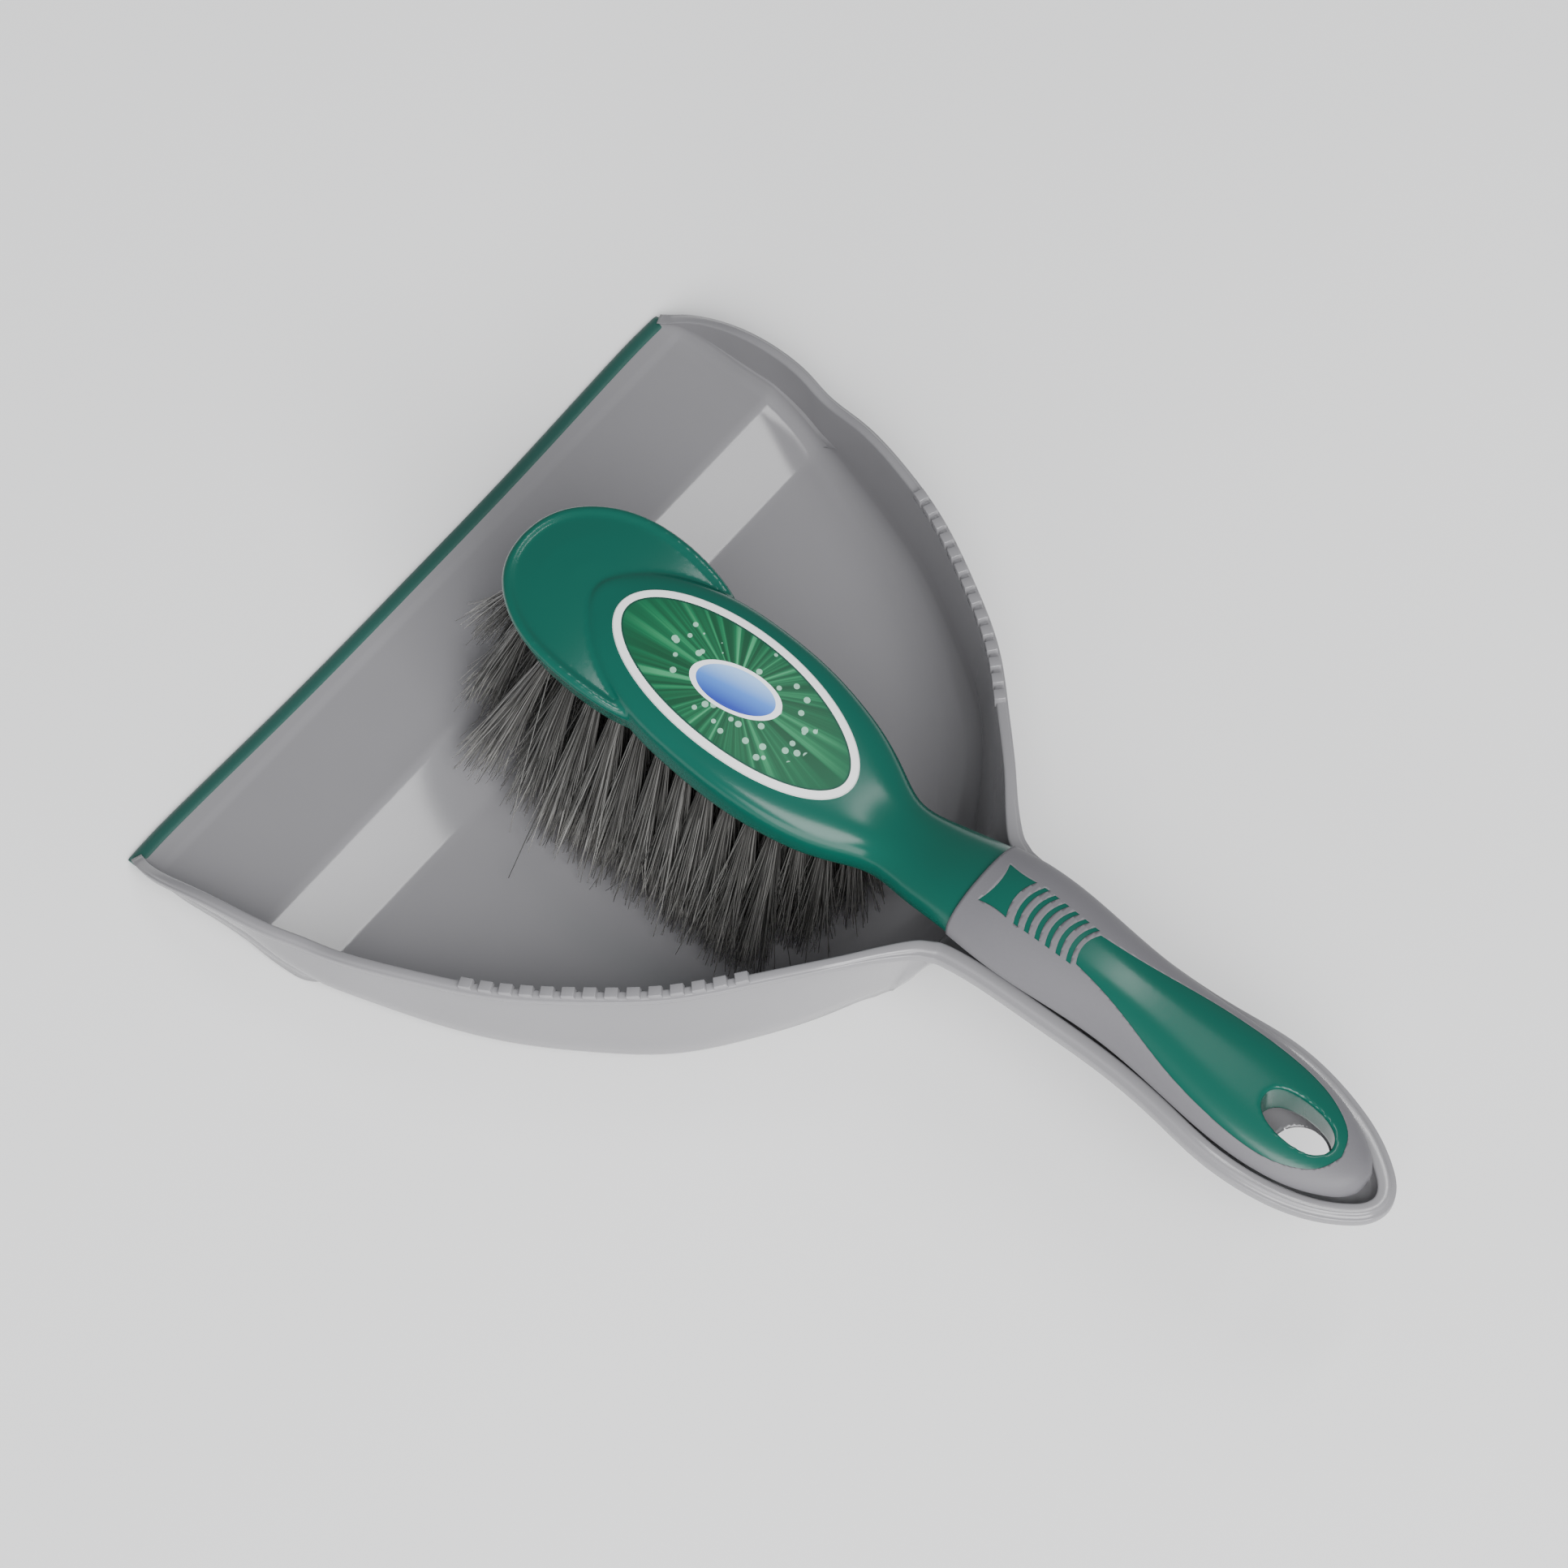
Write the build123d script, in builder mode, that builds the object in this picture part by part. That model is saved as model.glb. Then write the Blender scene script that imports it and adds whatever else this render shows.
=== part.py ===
"""Dustpan with a hand brush that rests in it.

Millimetres, +Z up. X runs from the pan's mouth (-X) to the end of the handles (+X).
The origin is the centre of the pan's length and width, at the level of its flat base.
Outlines are drawn on planes whose x is counted back from the mouth.
"""
from build123d import *
import os
from math import radians, tan

os.makedirs("parts", exist_ok=True)

# ---- driving dimensions -------------------------------------------------------------
PAN_LENGTH = 343.0
WALL = 2.0
FLOOR_Z = 2.0                # top of the flat floor
CORNER_RADIUS = 4.0          # inside, between the floor and the walls
WALL_TOP = 64.0              # height at which the wall's upper outline is drawn

LIP_DEPTH = 5.0              # soft strip, front to back
LIP_Z = 1.5
CREASE_X = 11.0              # foot of the ramp
CREASE_Z = 2.8
RIDGE_X = 45.0               # top of the ramp
RIDGE_Z = 7.2
RAMP_END_X = 66.0            # the flat base starts here
BASE_END_X = 189.0           # and ends here

RIM_DEPTH = 4.0              # rim, top to bottom
TROUGH_RIM_WIDTH = 4.8       # rim and wall together on the handle
TROUGH_FLOOR_Z = 50.5
TROUGH_RADIUS = 6.0          # outside, along the bottom of the handle
PAN_HOLE_RADIUS = 8.0        # hanging hole through the trough
PAN_HOLE_X = 314.0

TOOTH_COUNT = 14
TOOTH_LENGTH = 3.4
TOOTH_HEIGHT = 1.8
TOOTH_WIDTH = 3.0
TOOTH_SPAN = (0.283, 0.460)  # stretch of the rim curve that carries the teeth

GRIP_START_X = 208.0
GRIP_END_X = 334.5
GRIP_THICKNESS = 1.3
BRUSH_HOLE = (21.0, 11.5)    # its hanging hole, length and width
BRUSH_HOLE_X = 312.0

WINDOW_FLOOR_Z = 63.0        # the grip's windows are open above this height
SLOT_COUNT = 6               # slots through the grip, behind the bow-tie window
SLOT_START_X = 223.6
SLOT_PITCH = 3.35
SLOT_WIDTH = 1.5
SLOT_LENGTH = 13.0

LABEL_LENGTH = 80.0
LABEL_WIDTH = 37.0
LABEL_THICKNESS = 0.3
LABEL_X = 124.5

HEAD_FRONT_Z = 74.6          # the head's flat underside, at its front
HEAD_SLOPE = 0.15            # fall of the underside, per millimetre towards the handle

TUFT_PITCH = 7.6
TUFT_PLAY = 0.05
TIP_Z = 4.4                  # trimmed ends above the table, at the back of the brush
TIP_RISE = 9.0               # and how much higher they end at the front
FRONT_LEAN = 26.0            # degrees, at the very front
FRONT_LEAN_REACH = 48.0      # millimetres behind the front over which the lean dies out
TUFT_ROOT_RADIUS = 1.6
TUFT_TIP_RADIUS = 3.3
TUFT_HOLE_DEPTH = 8.5
TUFT_ROOT_DEPTH = 6.8
ANCHOR = (2.8, 0.5, 1.4)
TUFT_ROWS = {                # side position, first tuft, number of tufts, lean in degrees
    "tufts_far_edge": (16.5, 76, 11, 14),
    "tufts_far": (8.5, 64, 14, 7),
    "tufts_middle": (0, 59, 15, 0),
    "tufts_near": (-8.5, 64, 14, -7),
    "tufts_near_edge": (-16.5, 76, 11, -14),
}

# ---- planes -------------------------------------------------------------------------
MOUTH_X = -PAN_LENGTH / 2
PLAN = Plane(origin=(MOUTH_X, 0, 0))
SIDE = Plane(origin=(MOUTH_X, 0, 0), x_dir=(1, 0, 0), z_dir=(0, -1, 0))
REACH = 130.0                # more than half the width of anything here

# ---- outlines: (distance from the mouth, half-width) ----------------------------------
RIM = [(2.5, 113.0), (16, 116.4), (38, 116.2), (58, 113.4), (80, 109), (120, 94.6),
       (160, 68.5), (190, 37.7), (206, 21.8), (224, 19.0), (260, 17.9), (298, 21.1),
       (320, 17.7), (333, 11.5), (340.8, 4.8), (PAN_LENGTH, 0)]
WALL_FOOT = [(2.5, 111.6), (18, 113.2), (38, 112.4), (60, 109), (80, 104.9), (120, 89.7),
             (160, 62.2), (178, 36), (186, 16), (188.5, 6), (BASE_END_X, 0)]
WALL_HEAD = [(2.5, 117.6), (18, 119.4), (38, 119), (60, 114.6), (80, 110.5), (120, 95.3),
             (160, 68.3), (189, 38), (203, 18), (208.8, 7), (210, 0)]
SPINE = [(74, 0), (74.6, 4), (78, 9.4), (85, 15), (98, 20.4), (118, 23.3), (134, 23.2),
         (150, 20.8), (166, 15.8), (182, 10.6)]
HEAD = [(51.2, 0), (51.9, 5.2), (55, 11.6), (62, 18.2), (72, 23), (88, 25.5), (105, 24.2),
        (130, 23.8), (150, 21.6), (166, 16.8), (182, 11.4)]

HANDLE_FRONT = (196, 22.5)   # the trough starts here, inside the tray

LIP_EDGE = [(2.2, 0), (1.8, 50), (0.5, 92), (0.9, 108), (3, 112.6)]
BOW_TIE = [(212, 6.6), (216.2, 4.4), (220.8, 6.3)]
TEARDROP = [(243, 5.2), (262, 8.2), (290, 13.4), (312, 12.6), (322.6, 7.4), (325.8, 3),
            (326.4, 0)]

# ---- side curves: (distance from the mouth, height) -----------------------------------
RIM_TOP = [(0, 1.6), (15, 11.5), (36, 22), (60, 27), (80, 32), (120, 41.5), (160, 51.4),
           (200, 62.2), (225, 64.6), (270, 63.3), (PAN_LENGTH + 1, 58)]
HEAD_TOP = [(50, 83.4), (66, 83.8), (82, 83.2), (96, 81), (110, 77.6), (130, 73.6), (150, 67.6),
            (182, 61.5)]
SPINE_TOP = [(72, 85.2), (84, 84.9), (104, 84.3), (125, 82.2), (145, 78.6), (165, 73.7),
             (184, 70.6)]

# grip and neck sections: (distance from the mouth, half-width, middle height, half-height)
HANDLE = [(176, 12.4, 63.8, 8.4), (190, 12.7, 65.2, 8.6), (208, 15.2, 69.6, 10.2),
          (226, 16.3, 70.8, 10.4), (256, 14.3, 70, 9.4), (298, 16.4, 65, 7),
          (320, 13.3, 62.2, 5.6), (331, 6.4, 61.2, 3.6)]
HANDLE_TIP = (GRIP_END_X, 1.6, 61)      # distance, end radius, height


def mirrored_outline(points):
    """A closed flat outline: a smooth curve through the points, and its mirror image."""
    start, end = points[0], points[-1]
    with BuildSketch() as outline:
        with BuildLine():
            curve = Spline(*points)
            mirror(curve, about=Plane.XZ)
            if start[1] > 0:
                Line(start, (start[0], -start[1]))
            if end[1] > 0:
                Line(end, (end[0], -end[1]))
        make_face()
    return outline.sketch


def inset(points, amount):
    """Outline points moved inwards, each square to the outline."""
    moved = []
    for i, here in enumerate(points):
        before = Vector(*points[max(i - 1, 0)])
        after = Vector(*points[min(i + 1, len(points) - 1)])
        along = (after - before).normalized()
        if here[1] == 0:
            along = Vector(0, -1)
        moved.append((here[0] + along.Y * amount, here[1] - along.X * amount))
    return moved


def side_region(points, floor):
    """The flat region between a smooth side curve and a row of points under it."""
    with BuildSketch() as region:
        with BuildLine():
            Spline(*points)
            Polyline(points[-1], *floor, points[0])
        make_face()
    return region.sketch


def shifted(points, amount):
    """Side-curve points moved up by an amount."""
    return [(x, z + amount) for x, z in points]


def across(region, half_width=REACH):
    """A side region pushed out equally to the left and to the right."""
    with BuildPart() as slab:
        with BuildSketch(SIDE):
            add(region)
        extrude(amount=half_width, both=True)
    return slab.part


def upright(outline, low, high):
    """A plan outline pushed up from one height to another."""
    with BuildPart() as block:
        with BuildSketch(PLAN.offset(low)):
            add(outline)
        extrude(amount=high - low)
    return block.part


def walled(amount):
    """The tray's tapered block, with its walls moved inwards by an amount."""
    with BuildPart() as block:
        with BuildSketch(PLAN):
            add(mirrored_outline(inset(WALL_FOOT, amount)))
        with BuildSketch(PLAN.offset(WALL_TOP)):
            add(mirrored_outline(inset(WALL_HEAD, amount)))
        loft(ruled=True)
    return block.part


def below(points, depth=-1.0):
    """Everything under a smooth side curve that runs the length of the pan."""
    return across(side_region(points, [(points[-1][0], depth), (points[0][0], depth)]))


# ---- dustpan body: tray -----------------------------------------------------------------
with BuildPart() as above_floor:
    with BuildSketch(SIDE):
        with BuildLine():
            Polyline((-1, LIP_Z), (CREASE_X, CREASE_Z), (RIDGE_X, RIDGE_Z),
                     (RAMP_END_X, FLOOR_Z), (PAN_LENGTH, FLOOR_Z),
                     (PAN_LENGTH, 90), (-1, 90), (-1, LIP_Z))
        make_face()
    extrude(amount=REACH, both=True)

with BuildPart() as under_ramp:
    with BuildSketch(SIDE):
        with BuildLine():
            Polyline((LIP_DEPTH, 0), (CREASE_X, CREASE_Z - WALL), (RIDGE_X, RIDGE_Z - WALL),
                     (RAMP_END_X, 0), (RAMP_END_X, -1), (LIP_DEPTH, -1), (LIP_DEPTH, 0))
        make_face()
    extrude(amount=REACH, both=True)

with BuildPart() as tray_space:
    add(walled(WALL) & above_floor.part)
    corner = [edge for edge in edges().filter_by(GeomType.BSPLINE)
              if edge.center().Z < RIDGE_Z and edge.center().X > MOUTH_X + LIP_DEPTH - 4]
    fillet([e for e in corner if abs(e.center().Y) > 1 or e.length > 300], CORNER_RADIUS)

# ---- dustpan body: handle trough ----------------------------------------------------------
handle_points = [HANDLE_FRONT] + [point for point in RIM if point[0] > HANDLE_FRONT[0]]
trough_outer = mirrored_outline(inset(handle_points, TROUGH_RIM_WIDTH - WALL))
trough_inner = mirrored_outline(inset(handle_points, TROUGH_RIM_WIDTH))

with BuildPart() as trough_space:
    with BuildSketch(PLAN.offset(TROUGH_FLOOR_Z)):
        add(trough_inner)
    extrude(amount=30)
    fillet(edges().group_by(Axis.Z)[0].filter_by(GeomType.BSPLINE), TROUGH_RADIUS - WALL)

with BuildPart() as trough:
    with BuildSketch(PLAN.offset(TROUGH_FLOOR_Z - WALL)):
        add(trough_outer)
    extrude(amount=30)
    fillet(edges().group_by(Axis.Z)[0].filter_by(GeomType.BSPLINE), TROUGH_RADIUS)

# ---- dustpan body: rim and comb teeth -----------------------------------------------------
rim_strip = below(RIM_TOP) - below(shifted(RIM_TOP, -RIM_DEPTH), -9)
rim_curve = Spline(*RIM)

tooth_start, tooth_stop = (Vector(*RIM_TOP[k]) for k in (5, 6))
tooth_slope = (tooth_stop.Y - tooth_start.Y) / (tooth_stop.X - tooth_start.X)

with BuildPart() as teeth:
    for i in range(TOOTH_COUNT):
        share = TOOTH_SPAN[0] + (TOOTH_SPAN[1] - TOOTH_SPAN[0]) * i / (TOOTH_COUNT - 1)
        at, along = rim_curve @ share, rim_curve % share
        seat = Plane(origin=(MOUTH_X + at.X, at.Y, tooth_start.Y + tooth_slope * (at.X - tooth_start.X)),
                     x_dir=(along.X, along.Y, tooth_slope * along.X), z_dir=(along.Y, -along.X, 0))
        with Locations(seat):
            Box(TOOTH_LENGTH, 2 * TOOTH_HEIGHT, TOOTH_WIDTH,
                align=(Align.CENTER, Align.CENTER, Align.MIN))
    mirror(about=Plane.XZ)

with BuildPart() as pan_body:
    add(walled(0))
    add(under_ramp.part, mode=Mode.SUBTRACT)
    add(trough.part)
    add(below(RIM_TOP), mode=Mode.INTERSECT)
    add(upright(mirrored_outline(RIM), 0, REACH) & rim_strip)
    add(teeth.part)
    add(tray_space.part, mode=Mode.SUBTRACT)
    add(trough_space.part, mode=Mode.SUBTRACT)
    with BuildSketch(PLAN.offset(TROUGH_FLOOR_Z + WALL)):
        with Locations((PAN_HOLE_X, 0)):
            Circle(PAN_HOLE_RADIUS)
    extrude(amount=-3 * WALL, mode=Mode.SUBTRACT)
    split(bisect_by=Plane(origin=(MOUTH_X + LIP_DEPTH, 0, 0), z_dir=(1, 0, 0)), keep=Keep.TOP)
pan_body.part.label = "pan_body"
export_step(pan_body.part, "parts/pan_body.step")


# ---- pan lip ----------------------------------------------------------------------------
with BuildPart() as pan_lip:
    with BuildSketch(PLAN):
        with BuildLine():
            lip_edge = Spline(*LIP_EDGE)
            mirror(lip_edge, about=Plane.XZ)
            Polyline(LIP_EDGE[-1], (LIP_DEPTH, LIP_EDGE[-1][1]), (LIP_DEPTH, -LIP_EDGE[-1][1]),
                     (LIP_EDGE[-1][0], -LIP_EDGE[-1][1]))
        make_face()
    extrude(amount=2 * LIP_Z)
    with BuildSketch(SIDE):
        with BuildLine():
            Polyline((-1, 0), (LIP_DEPTH, 0), (LIP_DEPTH, LIP_Z), (0, LIP_Z / 2),
                     (-1, LIP_Z / 2), (-1, 0))
        make_face()
    extrude(amount=REACH, both=True, mode=Mode.INTERSECT)
pan_lip.part.label = "pan_lip"
export_step(pan_lip.part, "parts/pan_lip.step")


# ---- brush ------------------------------------------------------------------------------
def hand_grip(skin=0.0):
    """The brush's neck and handle, with its surface moved inwards by a skin thickness."""
    with BuildPart() as grip:
        for x, half_width, middle, half_height in HANDLE:
            with BuildSketch(Plane(origin=(MOUTH_X + x, 0, middle), x_dir=(0, 1, 0),
                                   z_dir=(1, 0, 0))):
                Ellipse(half_width - skin, half_height - skin)
        with BuildSketch(Plane(origin=(MOUTH_X + HANDLE_TIP[0] - skin, 0, HANDLE_TIP[2]),
                               x_dir=(0, 1, 0), z_dir=(1, 0, 0))):
            Ellipse(HANDLE_TIP[1] - skin, HANDLE_TIP[1] - skin)
        loft()
    return grip.part


def behind(x):
    """Everything behind a distance from the mouth, on the handle's side."""
    with BuildPart() as space:
        with BuildSketch(PLAN):
            with Locations((x, 0)):
                Rectangle(PAN_LENGTH, 2 * REACH, align=(Align.MIN, Align.CENTER))
        extrude(amount=REACH)
    return space.part


with BuildSketch() as window_outline:
    with BuildLine():                                      # bow tie
        Polyline(*BOW_TIE, *[(x, -y) for x, y in reversed(BOW_TIE)], close=True)
    make_face()
    for i in range(SLOT_COUNT):
        with Locations((SLOT_START_X + i * SLOT_PITCH, 0)):
            Rectangle(SLOT_WIDTH, SLOT_LENGTH)
    with BuildLine():                                      # teardrop
        drop = Spline(*TEARDROP)
        mirror(drop, about=Plane.XZ)
        Line(TEARDROP[0], (TEARDROP[0][0], -TEARDROP[0][1]))
    make_face()
windows = upright(window_outline.sketch, WINDOW_FLOOR_Z, REACH)

with BuildPart() as brush_hole:
    with BuildSketch(PLAN):
        with Locations((BRUSH_HOLE_X, 0)):
            SlotOverall(*BRUSH_HOLE)
    extrude(amount=REACH)

with BuildPart() as brush_grip:
    add(hand_grip())
    add(behind(GRIP_START_X), mode=Mode.INTERSECT)
    add(hand_grip(GRIP_THICKNESS), mode=Mode.SUBTRACT)
    add(windows, mode=Mode.SUBTRACT)
    add(brush_hole.part, mode=Mode.SUBTRACT)
brush_grip.part.label = "brush_grip"
export_step(brush_grip.part, "parts/brush_grip.step")

with BuildPart() as brush_label:
    with BuildSketch(PLAN):
        with Locations((LABEL_X, 0)):
            Ellipse(LABEL_LENGTH / 2, LABEL_WIDTH / 2)
    extrude(amount=REACH)
    add(below(shifted(SPINE_TOP, LABEL_THICKNESS)) - below(SPINE_TOP, -9), mode=Mode.INTERSECT)
brush_label.part.label = "brush_label"
export_step(brush_label.part, "parts/brush_label.step")

# Tufts stand square across the brush in lengthwise rows. The outer rows lean outwards
# and the front tufts lean forwards.
def root_height(x):
    """Height of the head's flat underside."""
    return HEAD_FRONT_Z - HEAD_SLOPE * (x - HEAD[0][0])


def tuft_seats(row):
    """One plane per tuft of a row, at the head's underside, looking along the tuft."""
    side, first, count, lean = row
    seats = []
    for i in range(count):
        x = first + i * TUFT_PITCH
        forward = FRONT_LEAN * max(0, 1 - (x - HEAD[0][0]) / FRONT_LEAN_REACH)
        seats.append(Plane(origin=(MOUTH_X + x, side, root_height(x)), x_dir=(0, 1, 0),
                           z_dir=(-tan(radians(forward)), tan(radians(lean)), -1)))
    return seats


def tuft_length(seat):
    """From the head's underside to the trimmed end."""
    share = max(0, 1 - (seat.origin.X - MOUTH_X - HEAD[0][0]) / FRONT_LEAN_REACH)
    return (seat.origin.Z - TIP_Z - TIP_RISE * share) / abs(seat.z_dir.Z)


all_seats = [seat for row in TUFT_ROWS.values() for seat in tuft_seats(row)]

with BuildPart() as tuft_holes:
    with Locations(*all_seats):
        Cylinder(TUFT_ROOT_RADIUS, 2 * TUFT_HOLE_DEPTH)

for name, row in TUFT_ROWS.items():
    with BuildPart() as tufts:
        for seat in tuft_seats(row):
            with Locations(seat):
                Cylinder(TUFT_ROOT_RADIUS - TUFT_PLAY, 2 * TUFT_ROOT_DEPTH)
            with Locations(seat.offset(TUFT_ROOT_DEPTH)):
                Cone(TUFT_ROOT_RADIUS - TUFT_PLAY, TUFT_TIP_RADIUS, tuft_length(seat) - TUFT_ROOT_DEPTH,
                     align=(Align.CENTER, Align.CENTER, Align.MIN))
    tufts.part.label = name
    export_step(tufts.part, "parts/" + name + ".step")

with BuildPart() as tuft_anchors:
    for seat in all_seats:
        with Locations(seat.offset(-TUFT_HOLE_DEPTH)):
            Box(*ANCHOR, align=(Align.CENTER, Align.CENTER, Align.MIN))
tuft_anchors.part.label = "tuft_anchors"
export_step(tuft_anchors.part, "parts/tuft_anchors.step")

with BuildPart() as head_plate:
    add(upright(mirrored_outline(HEAD), 0, REACH))
    add(across(side_region(HEAD_TOP, [(HEAD_TOP[-1][0], root_height(HEAD_TOP[-1][0])),
                                      (HEAD_TOP[0][0], root_height(HEAD_TOP[0][0]))])),
        mode=Mode.INTERSECT)

with BuildPart() as spine:
    add(upright(mirrored_outline(SPINE), 0, REACH))
    add(across(side_region(SPINE_TOP, [(SPINE_TOP[-1][0], 60), (SPINE_TOP[0][0], 75)])),
        mode=Mode.INTERSECT)

with BuildPart() as brush_core:
    add(head_plate.part)
    add(spine.part)
    add(hand_grip() - behind(GRIP_START_X))
    add(hand_grip(GRIP_THICKNESS) & behind(GRIP_START_X))
    add((hand_grip() - hand_grip(GRIP_THICKNESS)) & windows)
    add(brush_hole.part, mode=Mode.SUBTRACT)
    add(tuft_holes.part, mode=Mode.SUBTRACT)
brush_core.part.label = "brush_core"
export_step(brush_core.part, "parts/brush_core.step")
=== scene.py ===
"""Dustpan and hand brush: the looks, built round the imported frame.

Lengths below are in millimetres, counted back from the mouth (x), to the side (y) and up from
the table (z); place() turns them into the frame's metres.
"""
import math

import bmesh
import bpy
import numpy as np
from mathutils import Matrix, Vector


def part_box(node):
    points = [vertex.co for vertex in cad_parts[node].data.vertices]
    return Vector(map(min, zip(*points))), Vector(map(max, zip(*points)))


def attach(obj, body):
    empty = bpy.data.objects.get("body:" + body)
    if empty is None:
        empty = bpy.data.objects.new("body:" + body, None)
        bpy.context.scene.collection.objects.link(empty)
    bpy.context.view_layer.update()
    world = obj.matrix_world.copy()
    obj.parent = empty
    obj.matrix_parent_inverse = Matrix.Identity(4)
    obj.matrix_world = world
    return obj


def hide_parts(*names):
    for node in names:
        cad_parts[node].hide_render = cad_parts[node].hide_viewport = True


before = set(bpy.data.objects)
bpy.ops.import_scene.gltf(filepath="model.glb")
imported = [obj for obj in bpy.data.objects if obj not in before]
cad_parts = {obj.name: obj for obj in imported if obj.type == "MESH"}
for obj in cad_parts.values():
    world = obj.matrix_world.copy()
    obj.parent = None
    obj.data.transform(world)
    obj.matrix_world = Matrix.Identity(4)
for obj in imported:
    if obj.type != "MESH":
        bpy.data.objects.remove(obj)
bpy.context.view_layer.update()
rng = np.random.default_rng(7)

MM = 0.001
MOUTH = min(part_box("pan_lip")[0].x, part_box("pan_body")[0].x)
OVERHEAD = 0.3               # metres, above everything on the object


# ---- helpers -------------------------------------------------------------------------------------
def place(points):
    """Millimetres counted from the mouth, as metres in the frame."""
    points = np.asarray(points, float) * MM
    points[..., 0] += MOUTH
    return points


def smooth_path(points, count):
    """A natural cubic spline through a few points, as many points at even steps."""
    points = np.asarray(points, float)
    steps = np.linalg.norm(np.diff(points, axis=0), axis=1)
    knots = np.r_[0, np.cumsum(steps)] / steps.sum()
    n = len(points)
    system = np.eye(n)
    right = np.zeros_like(points)
    gaps = np.diff(knots)
    for i in range(1, n - 1):
        system[i, i - 1:i + 2] = gaps[i - 1], 2 * (gaps[i - 1] + gaps[i]), gaps[i]
        right[i] = 6 * ((points[i + 1] - points[i]) / gaps[i] - (points[i] - points[i - 1]) / gaps[i - 1])
    bend = np.linalg.solve(system, right)
    shares = np.linspace(0, 1, count)
    k = np.clip(np.searchsorted(knots, shares, side="right") - 1, 0, n - 2)
    gap = gaps[k][:, None]
    a = (knots[k + 1] - shares)[:, None]
    b = (shares - knots[k])[:, None]
    return (bend[k] * a ** 3 / (6 * gap) + bend[k + 1] * b ** 3 / (6 * gap)
            + (points[k] / gap - bend[k] * gap / 6) * a
            + (points[k + 1] / gap - bend[k + 1] * gap / 6) * b)


def eased(share):
    """A share between 0 and 1 that starts and ends gently."""
    share = np.clip(share, 0, 1)
    return share * share * (3 - 2 * share)


def along_x(points, x):
    """Heights or widths of a smooth curve through (x, value) points, read at x."""
    dense = smooth_path(points, 600)
    return np.interp(x, dense[:, 0], dense[:, 1])


def grid_faces(rows, columns, close_columns=False):
    """Quads over a grid of vertices that is stored row by row."""
    faces = []
    for start in range(0, (rows - 1) * columns, columns):
        for j in range(columns if close_columns else columns - 1):
            k = (j + 1) % columns
            faces.append((start + j, start + k, start + columns + k, start + columns + j))
    return faces


def end_caps(rows, columns):
    """The faces over the first and the last ring of a tube that is stored ring by ring."""
    last = (rows - 1) * columns
    return [tuple(range(columns)), tuple(range(last, last + columns))[::-1]]


def joined(shapes):
    """Several closed shapes as one list of points and faces."""
    points, faces, start = [], [], 0
    for p, f in shapes:
        points.append(p)
        faces += [tuple(start + k for k in face) for face in f]
        start += len(p)
    return np.concatenate(points), faces


def mesh_object(name, points, faces):
    """A mesh object through points in metres."""
    mesh = bpy.data.meshes.new(name)
    mesh.from_pydata([tuple(p) for p in np.asarray(points).reshape(-1, 3)], [], faces)
    mesh.update()
    thing = bpy.data.objects.new(name, mesh)
    bpy.context.scene.collection.objects.link(thing)
    return thing


def new_piece(name, points, faces, material, body, merge=0):
    """A smooth-shaded piece that rides on a body; points nearer than merge become one."""
    piece = mesh_object(name, place(points), faces)
    piece.data.materials.append(material)
    for polygon in piece.data.polygons:
        polygon.use_smooth = True
    if merge:
        weld = piece.modifiers.new("weld", "WELD")
        weld.merge_threshold = merge * MM
    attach(piece, body)
    return piece


def apply_modifiers(piece):
    """Bakes a piece's modifiers into its mesh."""
    depsgraph = bpy.context.evaluated_depsgraph_get()
    mesh = bpy.data.meshes.new_from_object(piece.evaluated_get(depsgraph))
    piece.modifiers.clear()
    piece.data = mesh


def mirrored_rows(half):
    """Rows of half sections (mirror line last) continued by their mirror images."""
    other = half[:, -2::-1] * np.array([1, -1, 1])
    return np.concatenate([half, other], axis=1)


def top_of(piece, x, y):
    """Height of the top of a piece at a point, found by dropping a ray."""
    _, spot, _, _ = piece.ray_cast(Vector((x * MM + MOUTH, y * MM, OVERHEAD)), Vector((0, 0, -1)))
    return spot.z / MM


# ---- materials -----------------------------------------------------------------------------------
def new_material(name):
    """A material, with the nodes, the links and the shader of its tree."""
    material = bpy.data.materials.new(name)
    material.use_nodes = True
    tree = material.node_tree
    return material, tree.nodes, tree.links, tree.nodes["Principled BSDF"]


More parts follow.
